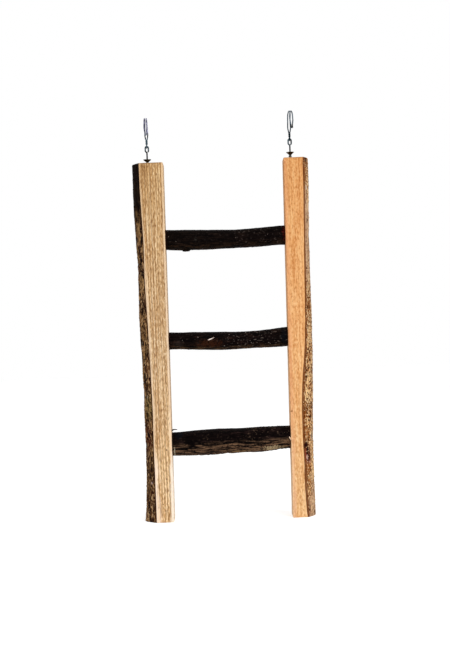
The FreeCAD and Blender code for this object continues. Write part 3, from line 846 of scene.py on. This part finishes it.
rungDeep = (4, 1, 1)
rungLook = {
    "top": {
        "body": (17, 9, 6), "worn": (42, 28, 22), "wornShare": 0.35,
        "lines": (0.8, 0.16), "under": (56, 38, 24), "underShare": 0.4, "underFrom": 0.3,
        "fleck": (104, 92, 86), "fleckShare": 0.3, "endTone": (44, 16, 10),
        "spots": (((-21, -7, 219.5), (1.1, 6, 1.6), (60, 56, 50), 0.4),
                  ((48.6, -5, 222), (2, 6, 5.5), (84, 18, 10), 0.6)),
    },
    "middle": {
        "body": (18, 9, 7), "worn": (54, 34, 26), "wornShare": 0.5,
        "lines": (0.8, 0.14), "under": (104, 78, 52), "underShare": 0.55, "underFrom": 0.5,
        "fleck": (140, 124, 114), "fleckShare": 0.4, "endTone": (48, 20, 12),
        "spots": (((-13, -6, 137.6), (9, 6, 3), (64, 32, 16), 0.55),
                  ((-38, -6, 138), (4, 6, 3), (44, 36, 32), 0.5),
                  ((45.5, -5, 141), (3, 6, 7), (12, 14, 20), 0.7)),
    },
    "bottom": {
        "body": (18, 9, 8), "worn": (58, 40, 36), "wornShare": 0.6,
        "lines": (0.9, 0.12), "under": (116, 88, 66), "underShare": 1.0, "underFrom": -0.14,
        "fleck": (132, 108, 88), "fleckShare": 0.4, "endTone": (40, 20, 14),
        "spots": (((34, -6.5, 54.3), (8.5, 6, 2), (184, 162, 126), 0.85),
                  ((8, -6.5, 52.6), (9, 5, 1.1), (138, 108, 72), 0.7),
                  ((-40.5, -6, 67.5), (3.4, 6, 3.6), (10, 12, 18), 0.8),
                  ((-43.9, -6, 54), (0.5, 6, 4.4), (176, 168, 150), 0.85)),
    },
}


def rungBark(which):
    look = rungLook[which]
    seed = rungRelief[which]["seed"]
    material, tree, shader = newMaterial("rung_bark_" + which, 0.03)
    place = placeInMillimetres(tree)
    pitch, draw = look["lines"]
    lines = grainNoise(tree, place, pitch, (draw, 1, 1), 3.0, 0.58, seed)
    clouds = grainNoise(tree, place, 0.12, (0.6, 1, 1), 2.0, 0.5, seed + 2)
    speckle = grainNoise(tree, place, 0.9, (0.6, 1, 1), 2.0, 0.5, seed + 4)
    fine = grainNoise(tree, place, 3.4, (0.5, 1, 1), 3.0, 0.6, seed + 8)
    body = blend(tree, ramp(tree, lines, 0.4, 0.6), rungDeep, look["body"])
    body = lay(tree, body, look["worn"], clouds, 0.45, 0.6, look["wornShare"], ramp(tree, lines, 0.50, 0.64))
    start = look["underFrom"]
    body = lay(tree, body, look["under"], attribute(tree, "under"), start, start + 0.35, look["underShare"],
               ramp(tree, lines, 0.45, 0.58))
    body = lay(tree, body, look["fleck"], speckle, 0.62, 0.68, look["fleckShare"], attribute(tree, "chips"))
    body = paintSpots(tree, place, body, look["spots"])
    body = lay(tree, body, rungDeep, speckle, 0.44, 0.34, 0.8)
    # furrows of the relief are painted dark: partly the bark's own colour, partly painted shade
    body = lay(tree, body, rungDeep, attribute(tree, "furrow"), -0.02, -0.25, 0.8)
    body = lay(tree, body, look["endTone"], attribute(tree, "fromEnd"), 1.2, 0.4, 0.6)
    relief = calc(tree, "MULTIPLY_ADD", lines, 0.8, times(tree, fine, 0.5))
    finish(tree, shader, body, relief, 0.25, ramp(tree, fine, 0.3, 0.7, 0.55, 0.8))
    return material


splinterLook = {
    "splinter": {"pale": (252, 238, 228), "dark": (206, 176, 160)},
    "thorn": {"pale": (252, 226, 200), "dark": (222, 180, 140)},
}


def splinterWood(kind):
    look = splinterLook[kind]
    material, tree, shader = newMaterial("wood_" + kind, 0.2)
    place = placeInMillimetres(tree)
    grain = grainNoise(tree, place, 2.2, (0.3, 1, 0.5), 3.0)
    body = blend(tree, ramp(tree, grain, 0.4, 0.62), look["pale"], look["dark"])
    finish(tree, shader, body, grain, 0.1, ramp(tree, grain, 0.3, 0.7, 0.6, 0.8))
    return material


# Metal: light and dark tones; low is the dull tone of the foot, up to the heights in lowBelow

metalLook = {
    "hook_left": {"light": (150, 148, 172), "dark": (52, 56, 72), "roughness": 0.30,
                  "low": (72, 92, 102), "lowBelow": (299.0, 305.0), "lowMetal": 0.9,
                  # painted shade where the strands of the twist meet
                  "spots": (((-56.9, 0, 302.4), (4, 9, 1.9), (6, 12, 18), 0.95),)},
    "hook_right": {"light": (112, 124, 134), "dark": (30, 42, 50), "roughness": 0.30,
                   "low": (18, 36, 44), "lowBelow": (300.0, 308.0), "lowMetal": 0.9,
                   # painted shade where the strands of the twist meet
                   "spots": (((57, -6, 304.4), (1.7, 7, 2.4), (4, 6, 10), 0.95),)},
    "screw_eye": {"light": (84, 104, 112), "dark": (16, 26, 32), "roughness": 0.34, "specular": 0.08,
                  "low": (6, 6, 8), "lowBelow": (289.6, 291.4), "lowMetal": 0.1},
    "collar": {"light": (112, 112, 104), "dark": (12, 12, 12), "roughness": 0.34},
    "screw": {"light": (176, 172, 158), "dark": (104, 98, 84), "roughness": 0.36},
}


def platedMetal(kind):
    look = metalLook[kind]
    material, tree, shader = newMaterial(kind + "_metal", look.get("specular", 0.5))
    place = placeInMillimetres(tree)
    cloud = grainNoise(tree, place, 0.55, (1, 1, 0.5), 3.0, 0.6, 3.0)
    scratch = grainNoise(tree, place, 6.0, (1, 1, 0.3), 2.0, 0.6, 9.0)
    body = blend(tree, ramp(tree, cloud, 0.60, 0.42), look["dark"], look["light"])
    body = lay(tree, body, look["dark"], scratch, 0.6, 0.75, 0.4)
    shader.inputs["Metallic"].default_value = 1.0
    if "low" in look:
        bright = calc(tree, "MULTIPLY_ADD", cloud, 5.0, calc(tree, "SUBTRACT", heightOf(tree, place), 2.5))
        bright = ramp(tree, bright, *look["lowBelow"])
        body = blend(tree, bright, look["low"], body)
        tree.links.new(ramp(tree, bright, 0.0, 1.0, look["lowMetal"], 1.0), shader.inputs["Metallic"])
    body = paintSpots(tree, place, body, look.get("spots", ()))
    roughness = look["roughness"]
    finish(tree, shader, body, scratch, 0.04, ramp(tree, cloud, 0.3, 0.7, roughness - 0.08, roughness + 0.1))
    return material


# Dressing the frame: bodies, replaced nodes and slots

def dress(piece, replaced=None):
    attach(piece, "ladder")
    if replaced:
        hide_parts(replaced)


chipTree = scatterTree()
innerFaces = {}
woods = {}
for side in ("left", "right"):
    node = "rail_" + side
    heights, inner, depths, bark = readRail(side)
    innerFaces[side] = (heights, inner)
    woods[side] = sawnWood(side)
    rail = makeRail(side, heights, inner, depths, bark)
    rail.data.materials.append(woods[side])
    rail.data.materials.append(railBark(side))
    dress(makeChips(chipTree, node, rail))
    dress(rail, node)
print("rails done")

rungBarks = {}
for which in rungNames:
    node = "rung_" + which
    rungBarks[which] = rungBark(which)
    rung = makeRung(which, innerFaces)
    rung.data.materials.append(rungBarks[which])
    rung.data.materials.append(woods["left"])
    dress(makeChips(chipTree, node, rung))
    dress(rung, node)
print("rungs done")

for name, spec in slivers.items():
    sliver = makeSliver(name, spec)
    look = spec["look"]
    sliver.data.materials.append(rungBarks[look] if look in rungBarks else splinterWood(look))
    dress(sliver)
print("slivers done")

metals = {kind: platedMetal(kind) for kind in metalLook}
for nodeName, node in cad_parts.items():
    kinds = [kind for kind in metalLook if nodeName.startswith(kind)]
    if kinds:
        node.data.materials.clear()
        node.data.materials.append(metals[kinds[0]])
print("metal done")


# Floor, background, lamps and camera

studio = {
    "ambient": 0.50,
    "lamps": (("key", (0.55, -0.75, 0.75), 0.7, 6.0), ("fill", (-0.8, -0.6, 0.35), 0.9, 2.2)),
    "aim": (0, 0, 0.15),
    "floorGlow": 0.55,
    "darkRoom": 0.22,         # brightness of the room behind the camera, as the metal mirrors it
}


def makeStudio():
    world = bpy.data.worlds.new("studio")
    bpy.context.scene.world = world
    world.use_nodes = True
    tree = world.node_tree
    background = tree.nodes["Background"]
    background.inputs["Color"].default_value = (1, 1, 1, 1)
    path = addNode(tree, "ShaderNodeLightPath").outputs
    direct = calc(tree, "MAXIMUM", path["Is Camera Ray"], path["Is Transmission Ray"])
    direction = addNode(tree, "ShaderNodeTexCoord").outputs["Generated"]
    depth = addNode(tree, "ShaderNodeSeparateXYZ", {0: direction}).outputs[1]
    mirrored = ramp(tree, depth, -0.75, 0.1, studio["darkRoom"], 1.0)
    soft = addNode(tree, "ShaderNodeMix", {0: path["Is Glossy Ray"], 2: studio["ambient"], 3: mirrored}).outputs[0]
    strength = addNode(tree, "ShaderNodeMix", {0: direct, 2: soft, 3: 1.0}).outputs[0]
    tree.links.new(strength, background.inputs["Strength"])

    floor = newObject("studio_floor", [(-3, -3, 0), (3, -3, 0), (3, 3, 0), (-3, 3, 0)], [(0, 1, 2, 3)])
    material, tree, shader = newMaterial("studio_floor")
    shader.inputs["Base Color"].default_value = (0.86, 0.86, 0.86, 1)
    shader.inputs["Roughness"].default_value = 0.9
    shader.inputs["Emission Color"].default_value = (1, 1, 1, 1)
    path = addNode(tree, "ShaderNodeLightPath").outputs
    direct = calc(tree, "MAXIMUM", path["Is Camera Ray"], path["Is Transmission Ray"])
    direct = calc(tree, "MAXIMUM", direct, path["Is Glossy Ray"])
    tree.links.new(times(tree, direct, studio["floorGlow"]), shader.inputs["Emission Strength"])
    floor.data.materials.append(material)

    for name, place, size, power in studio["lamps"]:
        light = bpy.data.lights.new(name, "AREA")
        light.size = size
        light.energy = power
        lamp = bpy.data.objects.new(name, light)
        toObject = Vector(studio["aim"]) - Vector(place)
        lamp.matrix_world = Matrix.Translation(place) @ toObject.to_track_quat("-Z", "Y").to_matrix().to_4x4()
        bpy.context.scene.collection.objects.link(lamp)


cameraView = {
    "place": (-0.0009, -0.9805, 0.1517),
    "roll": -0.0385,
    "lens": 46.1,
    "sensorHeight": 24.0,
}


def makeCamera():
    data = bpy.data.cameras.new("camera")
    data.sensor_fit = "VERTICAL"
    data.sensor_height = cameraView["sensorHeight"]
    data.lens = cameraView["lens"]
    camera = bpy.data.objects.new("camera", data)
    camera.matrix_world = (Matrix.Translation(cameraView["place"]) @ Matrix.Rotation(math.pi / 2, 4, "X")
                           @ Matrix.Rotation(cameraView["roll"], 4, "Z"))
    bpy.context.scene.collection.objects.link(camera)
    bpy.context.scene.camera = camera


makeStudio()
makeCamera()
bpy.context.scene.view_settings.view_transform = "Standard"
print("studio done")
